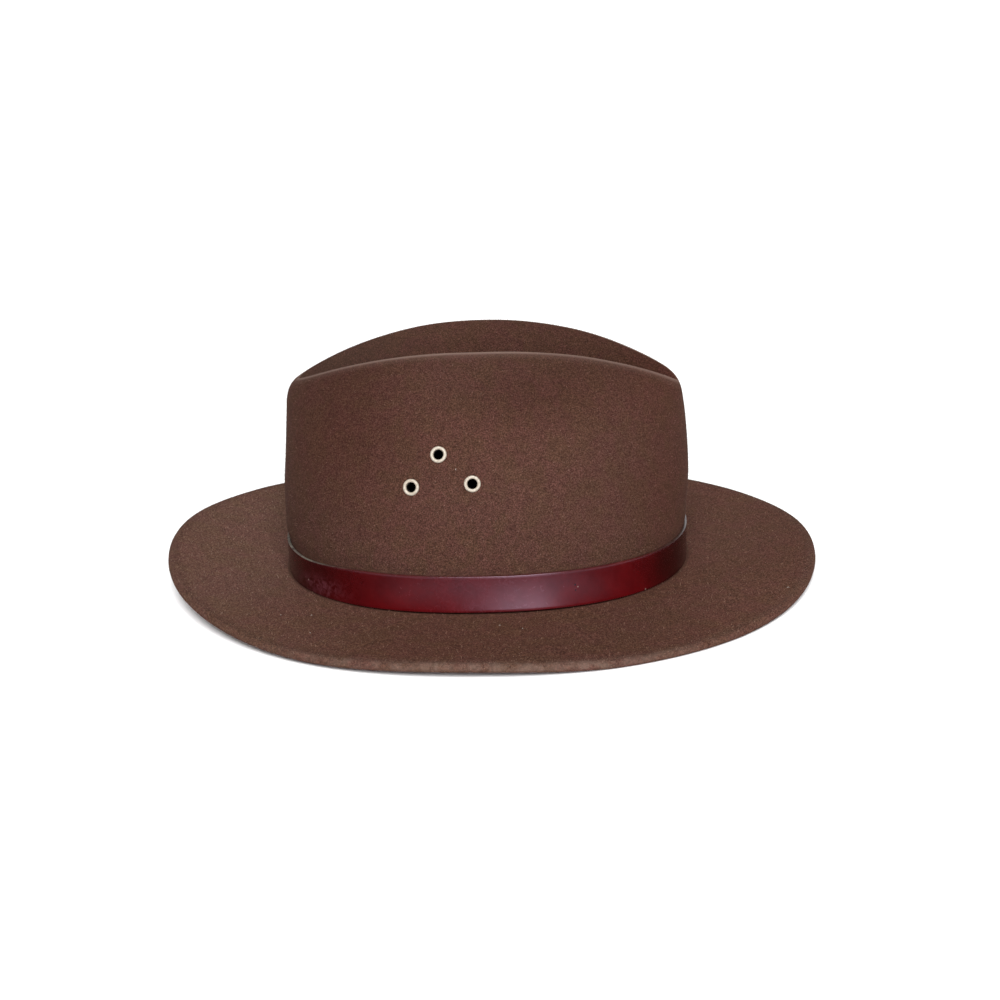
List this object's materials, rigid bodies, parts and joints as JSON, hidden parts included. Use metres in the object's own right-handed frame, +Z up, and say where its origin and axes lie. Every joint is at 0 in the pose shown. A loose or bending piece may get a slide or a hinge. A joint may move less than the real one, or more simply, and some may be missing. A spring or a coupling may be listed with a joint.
{
  "type": "safari hat",
  "caption": "Safari hat: blocked felt crown with a centre dent, wide welted brim, plain leather band and ventilation eyelets in each side.",
  "frame": {"origin": "centre of the bounding box, at the surface that the brim rests on", "axes": "+X to the front of the hat, +Y to the wearer's left, +Z up"},
  "size_m": [0.3398, 0.3024, 0.1208],
  "materials": {
    "felt": "warm brown wool felt with a short nap",
    "band_leather": "smooth burgundy leather, soft sheen, pale cut edges",
    "eyelet_metal": "cream enamelled rolled eyelet"
  },
  "bodies": {
    "root": {"felt_body": "felt", "leather_band": "band_leather", "eyelet_right_1": "eyelet_metal", "eyelet_right_2": "eyelet_metal", "eyelet_right_3": "eyelet_metal", "eyelet_left_1": "eyelet_metal", "eyelet_left_2": "eyelet_metal", "eyelet_left_3": "eyelet_metal"}
  },
  "joints": []
}
